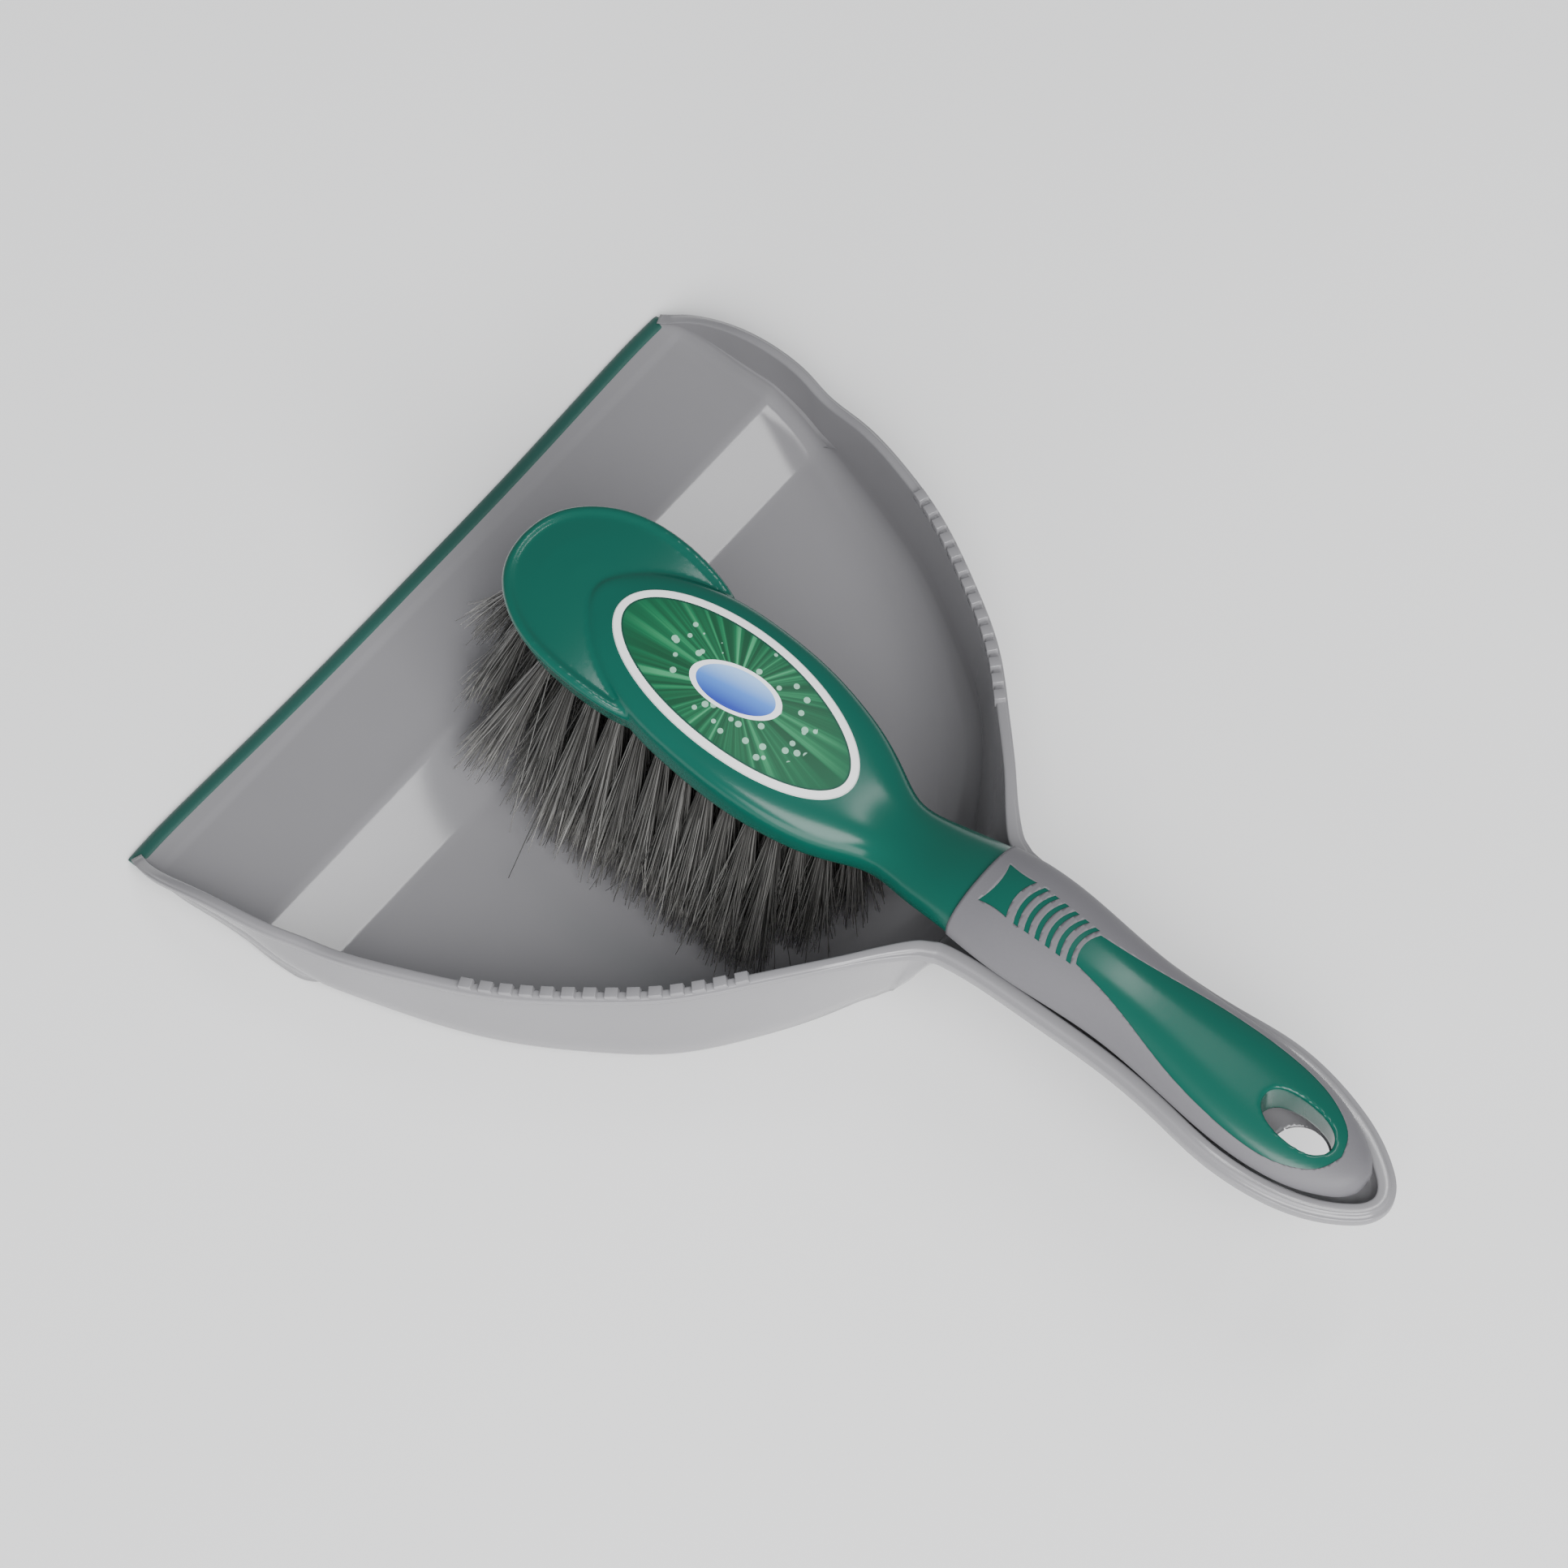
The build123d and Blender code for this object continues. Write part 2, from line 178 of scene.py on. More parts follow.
def surface(name, colour, roughness, bump=0.02, grain=900, mottle=0.04, patches=14, specular=0.5,
            metallic=0.0):
    """A colour that drifts a little, with uneven gloss and a fine grain."""
    material, nodes, links, shader = new_material(name)
    place_of = nodes.new("ShaderNodeTexCoord")
    drift = nodes.new("ShaderNodeTexNoise")
    drift.inputs["Scale"].default_value = patches
    drift.inputs["Detail"].default_value = 4
    links.new(place_of.outputs["Object"], drift.inputs["Vector"])
    tint = nodes.new("ShaderNodeValToRGB")
    for i, (at, gain) in enumerate(((0.3, 1 - mottle), (0.7, 1 + mottle))):
        tint.color_ramp.elements[i].position = at
        tint.color_ramp.elements[i].color = (*(c * gain for c in colour), 1)
    links.new(drift.outputs["Fac"], tint.inputs["Fac"])
    links.new(tint.outputs["Color"], shader.inputs["Base Color"])
    gloss = nodes.new("ShaderNodeMapRange")
    gloss.inputs["To Min"].default_value = roughness * 0.85
    gloss.inputs["To Max"].default_value = roughness * 1.2
    links.new(drift.outputs["Fac"], gloss.inputs["Value"])
    links.new(gloss.outputs["Result"], shader.inputs["Roughness"])
    skin = nodes.new("ShaderNodeTexNoise")
    skin.inputs["Scale"].default_value = grain
    skin.inputs["Detail"].default_value = 3
    links.new(place_of.outputs["Object"], skin.inputs["Vector"])
    relief = nodes.new("ShaderNodeBump")
    relief.inputs["Strength"].default_value = bump
    relief.inputs["Distance"].default_value = 0.0004
    links.new(skin.outputs["Fac"], relief.inputs["Height"])
    links.new(relief.outputs["Normal"], shader.inputs["Normal"])
    shader.inputs["Specular IOR Level"].default_value = specular
    shader.inputs["Metallic"].default_value = metallic
    return material


def bristle_material(name):
    """Dark fibres whose split ends are paler; each fibre has its own shade."""
    material, nodes, links, shader = new_material(name)
    layout = nodes.new("ShaderNodeUVMap")
    layout.uv_map = "fibre"
    split = nodes.new("ShaderNodeSeparateXYZ")
    links.new(layout.outputs["UV"], split.inputs["Vector"])
    along = nodes.new("ShaderNodeValToRGB")
    ramp = along.color_ramp
    ramp.elements[0].position, ramp.elements[0].color = 0.0, (0.06, 0.059, 0.056, 1)
    ramp.elements[1].position, ramp.elements[1].color = 1.0, (0.43, 0.42, 0.395, 1)
    middle = ramp.elements.new(0.7)
    middle.color = (0.13, 0.128, 0.123, 1)
    links.new(split.outputs["X"], along.inputs["Fac"])
    own = nodes.new("ShaderNodeMapRange")
    own.inputs["To Min"].default_value = 0.35
    own.inputs["To Max"].default_value = 2.25
    links.new(split.outputs["Y"], own.inputs["Value"])
    mixed = nodes.new("ShaderNodeVectorMath")
    mixed.operation = "SCALE"
    links.new(along.outputs["Color"], mixed.inputs[0])
    links.new(own.outputs["Result"], mixed.inputs["Scale"])
    links.new(mixed.outputs["Vector"], shader.inputs["Base Color"])
    shader.inputs["Roughness"].default_value = 0.42
    return material


pan_plastic = surface("pan_plastic", (0.22, 0.217, 0.227), 0.15)
lip_rubber = surface("lip_rubber", (0.008, 0.066, 0.052), 0.5, bump=0.06)
green_plastic = surface("brush_plastic", (0.002, 0.074, 0.053), 0.2, specular=0.3)
grip_rubber = surface("grip_rubber", (0.12, 0.117, 0.128), 0.55, bump=0.1, grain=1400)
fibre = bristle_material("bristle")
anchor_wire = surface("anchor_wire", (0.5, 0.5, 0.48), 0.35, metallic=1.0)
floor_paper = surface("floor_paper", (0.87, 0.87, 0.87), 0.9, bump=0.0, mottle=0.02, patches=3)


# ---- dustpan: one moulded sheet ------------------------------------------------------------------
# Each station, from the mouth to the tip of the handle: rim edge (x, y), foot of the wall
# (x, y, z) and junction, where the rounding under the wall meets the floor (x, y, z). Heights of
# None lie on the floor.
STATIONS = [
    (2.5, 113.2, 3.6, 111.4, None, 5.0, 109.6, None),
    (8, 115.0, 8, 112.0, None, 8.3, 109.4, None),
    (16, 116.4, 15.5, 112.6, None, 15.8, 109.3, None),
    (26, 116.7, 25.5, 112.3, None, 25.7, 108.8, None),
    (36, 116.4, 35, 111.6, None, 35, 108.0, None),
    (46, 115.7, 45, 111.3, None, 45, 107.5, None),
    (55, 114.4, 54.5, 110.9, None, 54, 106.9, None),
    (60, 113.2, 60, 110.2, None, 59, 106.0, None),
    (64, 112.1, 64, 109.4, None, 63, 105.0, None),
    (70, 110.9, 70, 108.1, None, 69, 103.3, None),
    (80, 109.0, 80, 105.0, None, 78.5, 99.7, None),
    (100, 102.9, 100, 98.3, None, 97.6, 92.4, None),
    (120, 94.6, 120, 89.7, None, 116.8, 83.3, None),
    (140, 82.8, 139.5, 78.0, None, 134.8, 71.4, None),
    (160, 68.5, 157.5, 64.5, None, 150.8, 57.2, None),
    (176, 52.6, 170.5, 47.5, None, 162.3, 40.7, None),
    (190, 37.7, 180, 30.0, None, 170.5, 25.5, None),
    (198.5, 28.3, 185.2, 19.5, 2.2, 175.5, 14.5, None),
    (203, 24.0, 187.6, 15.6, 4.0, 181.5, 11.4, 2.6),
    (206, 21.9, 191, 14.7, 13.0, 189.5, 10.6, 9.5),
    (208.5, 20.8, 198, 14.6, 31.0, 197, 10.4, 29.0),
    (211, 20.2, 205.6, 14.6, 46.5, 205, 10.2, 45.0),
    (215, 19.7, 212, 14.5, 50.2, 212, 9.8, 50.0),
    (224, 19.0, 224, 13.9, 50.5, 224, 8.6, 50.5),
    (240, 18.4, 240, 13.2, 50.5, 240, 8.0, 50.5),
    (260, 17.9, 260, 12.8, 50.5, 260, 7.8, 50.5),
    (280, 19.2, 280, 14.0, 50.5, 280, 8.8, 50.5),
    (298, 21.0, 298, 15.8, 50.5, 297.5, 10.4, 50.5),
    (310, 20.1, 309, 14.9, 50.5, 307.5, 9.6, 50.5),
    (320, 17.9, 318, 13.0, 50.5, 315.5, 8.1, 50.5),
    (329.5, 14.2, 326, 9.9, 50.5, 322.5, 6.2, 50.5),
    (336.5, 9.8, 331.6, 6.8, 50.5, 326.9, 4.3, 50.5),
    (341.0, 5.2, 335.4, 3.6, 50.5, 330.0, 2.3, 50.5),
    (342.6, 0, 336.9, 0, 50.5, 331.3, 0, 50.5),
]
BEYOND_TIP = 4               # mirrored stations that keep the tip round
SECTIONS = 330               # across the pan, from the mouth to the tip
RIM_TOP = [(0, 2.2), (2.5, 2.9), (8, 6.6), (15, 11.6), (35, 22.3), (48, 25.8), (56, 27.0), (62, 27.5),
           (68, 28.2), (80, 32.0), (100, 37.5), (120, 41.5), (140, 46.0), (160, 51.2), (170, 54.4),
           (180, 57.6), (190, 60.4), (200, 62.2), (212, 64.0), (225, 64.3), (250, 63.6), (280, 62.8),
           (300, 61.6), (320, 59.4), (343, 58.0)]
FLOOR = [(-1, 2.2), (10.2, 2.75), (11.4, 2.5), (44.4, 7.08), (45.6, 7.05), (65.0, 2.0), (66.2, 1.75),
         (400, 1.7)]
FOOT_CLIMBS, JUNCTION_CLIMBS = 183, 176      # x at which they leave the floor for the trough
HANDLE_BLEND = (190, 22)     # where the rim turns into the handle's rim: start and length
RIM_GROWTH = 9               # wall height at which the rim is full
WALL_STEPS, CORNER_STEPS, FLOOR_STEPS = 6, 8, 33
ROUNDNESS = 0.6              # of the rounding: 1 is a full curve, 0 a straight bevel
SHEET = 1.6                  # thickness of the visual sheet
TROUGH_FLOOR = 50.5
PAN_HOLE_X, PAN_HOLE_RADIUS = 314.0, 8.0

floor_x, floor_z = np.array(FLOOR).T
stations = np.array([[a, b, c, d, np.interp(c, floor_x, floor_z) if e is None else e,
                      f, g, np.interp(f, floor_x, floor_z) if h is None else h]
                     for a, b, c, d, e, f, g, h in STATIONS])
past = stations[-2:-2 - BEYOND_TIP:-1] * (1, -1, 1, -1, 1, 1, -1, 1)
dense = smooth_path(np.concatenate([stations, past]), 5000)
tip = np.argmax(dense[:, 0])
dense = dense[:tip + 1]
travelled = np.r_[0, np.cumsum(np.linalg.norm(np.diff(dense[:, :5], axis=0), axis=1))]
picks = np.interp(np.linspace(0, travelled[-1], SECTIONS), travelled, np.arange(len(travelled)))
path = np.stack([np.interp(picks, np.arange(len(dense)), dense[:, k]) for k in range(8)], axis=1)
rim_edge, foot, junction = path[:, :2], path[:, 2:5], path[:, 5:]
rim_edge[-1, 1] = foot[-1, 1] = junction[-1, 1] = 0
rim_edge[:, 1] = np.maximum(rim_edge[:, 1], 0)
rim_z = along_x(RIM_TOP, rim_edge[:, 0])
for crease, _ in FLOOR[1:-1]:
    junction[np.argmin(np.abs(junction[:, 0] - crease)), 0] = crease
for line, climbs in ((junction, JUNCTION_CLIMBS), (foot, FOOT_CLIMBS)):
    on_floor = line[:, 0] < climbs
    line[on_floor, 2] = np.interp(line[on_floor, 0], floor_x, floor_z)

heading = np.gradient(rim_edge, axis=0)
heading[-1] = (0, -1)
heading /= np.linalg.norm(heading, axis=1)[:, None]
outward = np.stack([-heading[:, 1], heading[:, 0]], axis=1)


def rim_point(out, up):
    """Points beside the rim's edge: outwards in plan, and up from the rim's top."""
    return np.column_stack([rim_edge[:, 0] + outward[:, 0] * out, rim_edge[:, 1] + outward[:, 1] * out,
                            rim_z + up * from_mouth])


to_handle = eased((rim_edge[:, 0] - HANDLE_BLEND[0]) / HANDLE_BLEND[1])
from_mouth = np.clip((rim_z - foot[:, 2]) / RIM_GROWTH, 0.04, 1)      # it grows out of the corner
width = 3.3 + 1.7 * to_handle
skirt = 2.4 + 1.7 * to_handle
ledge = 0.55 + 0.75 * to_handle
sunk = 0.35 * to_handle      # the ledge lies deeper on the handle
section = [rim_point(-0.05, -skirt), rim_point(0, -skirt + 0.4), rim_point(0, -0.95 - sunk),
           rim_point(-0.12, -0.72 - sunk), rim_point(-0.35, -0.6 - sunk), rim_point(-ledge, -0.55 - sunk),
           rim_point(-ledge - 0.18, -0.42 - 0.2 * to_handle), rim_point(-ledge - 0.4, -0.14),
           rim_point(-ledge - 0.85, 0), rim_point(-width + 0.75, 0), rim_point(-width + 0.3, -0.14),
           rim_point(-width + 0.06, -0.5), rim_point(-width, -1.1)]
wall_top = section[-1]
rounding = np.linalg.norm(foot - junction, axis=1)
up_wall = wall_top - foot
wall_height = np.linalg.norm(up_wall, axis=1)
reach_up = np.minimum(rounding, wall_height * 0.8)
tangent = foot + up_wall / wall_height[:, None] * reach_up[:, None]
for share in np.linspace(0, 1, WALL_STEPS + 1)[1:]:
    section.append(wall_top + (tangent - wall_top) * share)
for t in np.linspace(0, 1, CORNER_STEPS + 1)[1:]:
    curved = tangent * (1 - t) ** 2 + foot * 2 * t * (1 - t) + junction * t * t
    section.append(ROUNDNESS * curved + (1 - ROUNDNESS) * (tangent + (junction - tangent) * t))
middle = junction * np.array([1, 0, 1])
for share in np.linspace(0, 1, FLOOR_STEPS + 1)[1:]:
    section.append(junction + (middle - junction) * share)
whole = mirrored_rows(np.stack(section, axis=1))

# The hanging hole: faces inside it are left out, and the points round it move onto its edge.
near_hole = whole - np.array([PAN_HOLE_X, 0, 0])
distance = np.hypot(near_hole[..., 0], near_hole[..., 1])
low = whole[..., 2] < TROUGH_FLOOR + 0.5
in_hole = low & (distance < PAN_HOLE_RADIUS - 0.1)
edge = low & ~in_hole & (distance < PAN_HOLE_RADIUS + 0.9)
whole[edge, :2] = near_hole[edge, :2] / distance[edge][:, None] * PAN_HOLE_RADIUS + (PAN_HOLE_X, 0)
gone = in_hole.reshape(-1)
faces = [f for f in grid_faces(*whole.shape[:2]) if not any(gone[list(f)])]
pan = new_piece("pan_shell", whole, faces, pan_plastic, "dustpan", merge=0.01)
shell = pan.modifiers.new("wall", "SOLIDIFY")
shell.thickness = SHEET * MM
shell.thickness_clamp = 0.9
shell.offset = -1
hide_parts("pan_body")

# ---- dustpan: side walls under the ramp ----------------------------------------------------------
# The side walls reach the table under the ramp as well; behind it this strip runs out upwards.
STRIP_END = 78               # x of the wall's foot
RUN_OUT = (60, 17)           # start and length
RUN_OUT_SHARE = 0.96         # of the strip's height
STRIP_LEAN = 0.12            # the most that it leans, sideways per millimetre
STRIP_START = 0.25           # its upper edge, as a share of the wall's straight part
STRIP_WAIST = 0.45           # its middle, as a share of the height of the wall's foot
TABLE_GAP = 0.05
TUCK = 2.7                   # how far its foot is drawn in under the ramp
TUCK_HEIGHT = 4              # height of the wall's foot at which it is drawn in fully

front_part = foot[:, 0] < STRIP_END
base = foot[front_part]
base_z = base[:, 2:]
away = np.column_stack([outward[front_part], np.zeros(len(base))])
lean = up_wall[front_part] / up_wall[front_part][:, 2:]
lean = np.column_stack([np.clip(lean[:, :2], -STRIP_LEAN, STRIP_LEAN), np.ones(len(lean))])
straight = (wall_top - tangent)[front_part]
strip_head = tangent[front_part] + straight * STRIP_START
strip_foot = base - lean * (base_z - TABLE_GAP)
waist = strip_foot + lean * base_z * STRIP_WAIST
run_out = eased((base[:, :1] - RUN_OUT[0]) / RUN_OUT[1]) * RUN_OUT_SHARE
strip_foot = strip_foot + (strip_head - strip_foot) * run_out
waist = waist + (strip_head - waist) * run_out
skin = np.clip(0.12 * np.linalg.norm(straight, axis=1), 0.1, 0.95)[:, None]      # outer face
inner = 0.15 - 0.65 * (1 - run_out)                                              # inner face
tuck = TUCK * np.clip(base_z / TUCK_HEIGHT, 0, 1) * (1 - run_out)
ring = np.stack([strip_head + away * 0.15, strip_head + away * skin,
                 waist + away * (skin * 0.7 - tuck * 0.08), strip_foot + away * (skin * 0.5 - tuck),
                 strip_foot + away * (inner - tuck), waist + away * inner], axis=1)
strip_faces = grid_faces(*ring.shape[:2], close_columns=True) + end_caps(*ring.shape[:2])
strips = [((ring * (1, side, 1)).reshape(-1, 3), strip_faces) for side in (1, -1)]
skirts = new_piece("side_skirts", *joined(strips), pan_plastic, "dustpan")
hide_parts("pan_body")

# ---- dustpan: comb teeth along the rim -----------------------------------------------------------
TEETH = 14
TEETH_FROM, TEETH_TO = 112.0, 173.0
TOOTH_TOP, TOOTH_FOOT = 1.75, 2.15           # half lengths along the rim
TOOTH_SIDES = ((-0.7, 1.5), (-3.75, 1.25))   # outer and inner: place beside the rim's edge, rise
TOOTH_ROOT = -1.7
TOOTH_BEVEL = 0.2
TOOTH_FACES = [(0, 1, 3, 2), (2, 3, 5, 4), (4, 5, 7, 6), (6, 7, 1, 0), (0, 2, 4, 6), (1, 7, 5, 3)]

first, last = np.interp([TEETH_FROM, TEETH_TO], rim_edge[:, 0], np.arange(SECTIONS))
rim_path = np.column_stack([rim_edge, rim_z])
points, faces = [], []
for i in range(TEETH):
    at = first + (last - first) * i / (TEETH - 1)
    here, ahead = (np.array([np.interp(at + d, np.arange(SECTIONS), rim_path[:, k]) for k in range(3)])
                   for d in (-0.5, 0.5))
    along = (ahead - here) / np.linalg.norm(ahead - here)
    here = (here + ahead) / 2
    out = np.array([-along[1], along[0], 0]) / np.hypot(along[0], along[1])
    up = np.cross(along, out) * (1 if np.cross(along, out)[2] > 0 else -1)
    for side in (1, -1):
        start = len(points)
        for back, on_top in ((-1, False), (1, False), (1, True), (-1, True)):
            for beside, rise in TOOTH_SIDES:
                length = TOOTH_TOP if on_top else TOOTH_FOOT
                height = rise if on_top else TOOTH_ROOT
                corner = here + along * back * length + out * beside + up * height
                points.append(corner * (1, side, 1))
        faces += [tuple(start + k for k in (f if side < 0 else f[::-1])) for f in TOOTH_FACES]
teeth = new_piece("rim_teeth", points, faces, pan_plastic, "dustpan")
soften = teeth.modifiers.new("edges", "BEVEL")
soften.width, soften.segments = TOOTH_BEVEL * MM, 2
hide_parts("pan_body")

# ---- dustpan: soft lip ---------------------------------------------------------------------------
LIP_EDGE = [(2.1, 0), (1.8, 50), (0.6, 92), (0.5, 104), (0.8, 112.9)]
LIP_WIDTH, LIP_END = 5.0, 112.9
LIP_ACROSS = 181             # sections, closer together towards the ends
# Its section: share of the way from the back edge to the front edge, and height.
NOSE = [(0, 1.8), (0.0, 2.45), (0.05, 2.65), (0.3, 2.7), (0.6, 2.35), (0.78, 1.9), (0.9, 1.4), (0.97, 0.9),
        (1.0, 0.5), (0.97, 0.16), (0.88, 0.0), (0, 0.0)]

spread = np.sin(np.linspace(-1, 1, LIP_ACROSS) * math.pi / 2) * LIP_END
edge_points = smooth_path(LIP_EDGE, 300)
front = np.interp(np.abs(spread), edge_points[:, 1], edge_points[:, 0])
end_drop = np.clip(LIP_END - np.abs(spread), 0.3, 1) ** 0.5
back_edge = np.maximum(front + LIP_WIDTH, 5.15)
lip_rows = [[(back_edge[k] + (front[k] - back_edge[k]) * forward, y, height * end_drop[k])
             for forward, height in NOSE] for k, y in enumerate(spread)]
lip_faces = grid_faces(LIP_ACROSS, len(NOSE), close_columns=True) + end_caps(LIP_ACROSS, len(NOSE))
lip = new_piece("lip_strip", lip_rows, lip_faces, lip_rubber, "dustpan", merge=0.02)
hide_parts("pan_lip")


# ---- brush: head, neck and handle ----------------------------------------------------------------
HEAD = [(50.6, 0), (51.3, 5.6), (54.2, 12.4), (61, 19.2), (71, 24.2), (84, 26.2), (96, 25.6), (104, 23.8),
        (112, 20.6), (128, 16), (150, 12), (178, 7)]
HEAD_TOP = [(50, 84.4), (60, 84.9), (70, 84.8), (82, 83.9), (96, 81.3), (110, 77.5), (130, 72.5),
            (150, 66.6), (182, 61.0)]
# Island and neck: x, half-width, top, underside, squareness of the section.
ISLAND = [(76.6, 2, 83.9, 74, 2.4), (77.6, 6, 84.6, 73.6, 2.6), (80.5, 10.4, 84.8, 73, 3),
          (87, 15.6, 84.9, 71.6, 3.4), (98, 20.4, 84.6, 68, 3.8), (108, 22.9, 83.9, 66.2, 4),
          (122, 24.2, 82.5, 64.2, 4), (136, 24.1, 80.2, 62.2, 4), (150, 22.3, 77.3, 60, 3.6),
          (160, 19.8, 74.9, 58.4, 3.2), (170, 15.6, 72.7, 56.8, 2.7), (179, 11.9, 71.9, 55.9, 2.4),
          (190, 12.6, 73.5, 56.7, 2.2), (200, 13.8, 76.7, 58.3, 2.15), (209.5, 14.9, 79.6, 60, 2.1)]
# Grip: x, half-width, middle height, half-height.
GRIP = [(208, 15.2, 69.6, 10.2), (216, 16, 70.4, 10.5), (226, 16.3, 70.8, 10.4), (240, 15.4, 70.6, 10),
        (256, 14.3, 69.6, 9.3), (276, 15.1, 67.4, 8.2), (298, 16.4, 64.8, 7.0), (310, 15.5, 63.4, 6.3),
        (320, 13.1, 62.3, 5.6), (327.5, 9.6, 61.6, 4.8), (332, 6.2, 61.2, 3.9), (334, 3.4, 61.1, 2.6)]
GRIP_FRONT, WINDOW_FLOOR = 208.0, 63.0
CORE_SKIN = 0.16             # how far the core's surface lies under the grip's
BRUSH_HOLE_X, BRUSH_HOLE = 312.0, (21.6, 12.2)
CUT_FROM, CUT_TO = 40, 95    # heights that a cut right through the handle spans
HEAD_FRONT_X, UNDERSIDE_FRONT, UNDERSIDE_SLOPE = 51.2, 74.6, 0.15


def underside(x):
    """Height of the head's flat underside."""
    return UNDERSIDE_FRONT - UNDERSIDE_SLOPE * (np.asarray(x) - HEAD_FRONT_X)


def superellipse(turn, squareness):
    """Unit outline between a circle (2) and a square."""
    c, s = np.cos(turn), np.sin(turn)
    return (np.sign(c) * np.abs(c) ** (2 / squareness), np.sign(s) * np.abs(s) ** (2 / squareness))


def loft(sections, around=96):
    """Closed tube through (x, half-width, top, bottom, squareness) sections."""
    turn = np.linspace(0, 2 * math.pi, around, endpoint=False)
    rings = []
    for x, half_width, top, bottom, squareness in sections:
        c, s = superellipse(turn, squareness)
        heights = (top + bottom) / 2 + s * (top - bottom) / 2
        rings.append(np.stack([np.full(around, x), c * half_width, heights], axis=1))
    faces = grid_faces(len(rings), around, close_columns=True)
    faces += [cap[::-1] for cap in end_caps(len(rings), around)]
    return np.concatenate(rings), faces


def oval(length, wide, count=64):
    """Outline of an oval, a little fuller than an ellipse, along x."""
    c, s = superellipse(np.linspace(0, 2 * math.pi, count, endpoint=False), 2.25)
    return list(zip(c * length / 2, s * wide / 2))


def prism(outline, low, high):
    """Closed upright block over an outline."""
    points = [(x, y, low) for x, y in outline] + [(x, y, high) for x, y in outline]
    faces = grid_faces(2, len(outline), close_columns=True)
    faces += [cap[::-1] for cap in end_caps(2, len(outline))]
    return np.array(points), faces


def outwards(piece):
    """Turns every face of a closed piece outwards."""
    work = bmesh.new()
    work.from_mesh(piece.data)
    bmesh.ops.recalc_face_normals(work, faces=work.faces)
    work.to_mesh(piece.data)
    work.free()


def cut(piece, shapes):
    """Cuts closed shapes out of a piece."""
    points, faces = joined(shapes)
    cutter = mesh_object("cutter", place(points), faces)
    outwards(cutter)
    difference = piece.modifiers.new("cut", "BOOLEAN")
    difference.operation, difference.solver = "DIFFERENCE", "EXACT"
    difference.object = cutter
    apply_modifiers(piece)
    bpy.data.objects.remove(cutter)


def cast(piece, voxel, passes):
    """Melts overlapping closed shapes into one moulding with soft inner corners."""
    melt = piece.modifiers.new("melt", "REMESH")
    melt.mode, melt.voxel_size, melt.use_smooth_shade = "VOXEL", voxel * MM, True
    ease = piece.modifiers.new("ease", "SMOOTH")
    ease.factor, ease.iterations = 0.5, passes
    apply_modifiers(piece)


# The plate's section: share of the way from its centre line to its outline, and rise over its
# underside or its upper side.
UNDER_SECTION = [(0.0, 0), (0.5, 0), (0.83, 0), (0.89, 0.6)]
TOP_SECTION = [(0.962, -4.6), (0.99, -3.2), (1.0, -2.0), (0.996, -1.2), (0.98, -0.45), (0.958, -0.05),
               (0.935, 0.0), (0.905, -0.2), (0.885, -0.6), (0.86, -0.75), (0.6, -0.6), (0.3, -0.5),
               (0.0, -0.5)]
CENTRE_LINE = (77, 170)      # from the front to the back of the head


def top_side(x):
    """Height of the head's upper side."""
    return along_x(HEAD_TOP, x)


half_outline = smooth_path(HEAD, 110)
outline = np.concatenate([half_outline[::-1], half_outline[1:] * (1, -1), [(HEAD[-1][0], 0)]])
centre_line = np.column_stack([np.clip(outline[:, 0], *CENTRE_LINE), np.zeros(len(outline))])
rings = []
for level, profile in ((underside, UNDER_SECTION), (top_side, TOP_SECTION)):
    for share, rise in profile:
        ring = centre_line + (outline - centre_line) * share
        rings.append(np.column_stack([ring, level(ring[:, 0]) + rise]))
plate_faces = grid_faces(len(rings), len(outline), close_columns=True) + end_caps(len(rings), len(outline))
plate = (np.concatenate(rings), plate_faces)
head = new_piece("head_and_neck", *joined([plate, loft(smooth_path(ISLAND, 90))]), green_plastic, "brush")
cast(head, 0.5, 12)
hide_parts("brush_core")

grip_sections = smooth_path(GRIP, 150)
onwards = np.diff(grip_sections[:, 0]) > 0
grip_sections = grip_sections[np.r_[True, onwards]]


def grip_tube(skin, start):
    """The grip's closed tube, with its surface moved in by a skin."""
    rows = []
    for x, half_width, middle, half_height in grip_sections:
        rows.append((max(x, start), half_width - skin, middle + half_height - skin,
                     middle - half_height + skin, 2.15))
    x, half_width, top, bottom, _ = rows[-1]
    middle = (top + bottom) / 2
    rows.append((x + 0.35, half_width * 0.62, middle + 1.5, middle - 1.5, 2.1))
    return loft(rows, 144)


def hanging_hole(long_gain=1, wide_gain=1):
    """The block that cuts the brush's hanging hole, a little larger if asked."""
    outline = [(BRUSH_HOLE_X + x * long_gain, y * wide_gain) for x, y in oval(*BRUSH_HOLE)]
    return prism(outline, CUT_FROM, CUT_TO)


core = new_piece("handle_core", *grip_tube(CORE_SKIN, GRIP_FRONT + 1), green_plastic, "brush")
outwards(core)
cut(core, [hanging_hole()])
cast(core, 0.42, 14)
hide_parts("brush_core")


def arc(x, half_width, bulge=1.7, count=9):
    """Points across the grip, bowed towards the neck in the middle."""
    across = np.linspace(-half_width, half_width, count)
    return [(x - bulge * (1 - (y / half_width) ** 2), y) for y in across]


BOW_TIE_SIDE = [(211.8, 6.7), (216.4, 6.2), (220.8, 6.5)]
SLOTS, SLOT_START, SLOT_PITCH, SLOT_HALF = 6, 224.1, 3.4, 0.72
TEARDROP_SIDE = [(243, 5.3), (252, 6.4), (262, 8.3), (276, 11.4), (290, 13.3), (302, 13.7), (312, 12.5),
                 (319, 9.8), (324, 5.8), (326.3, 0)]

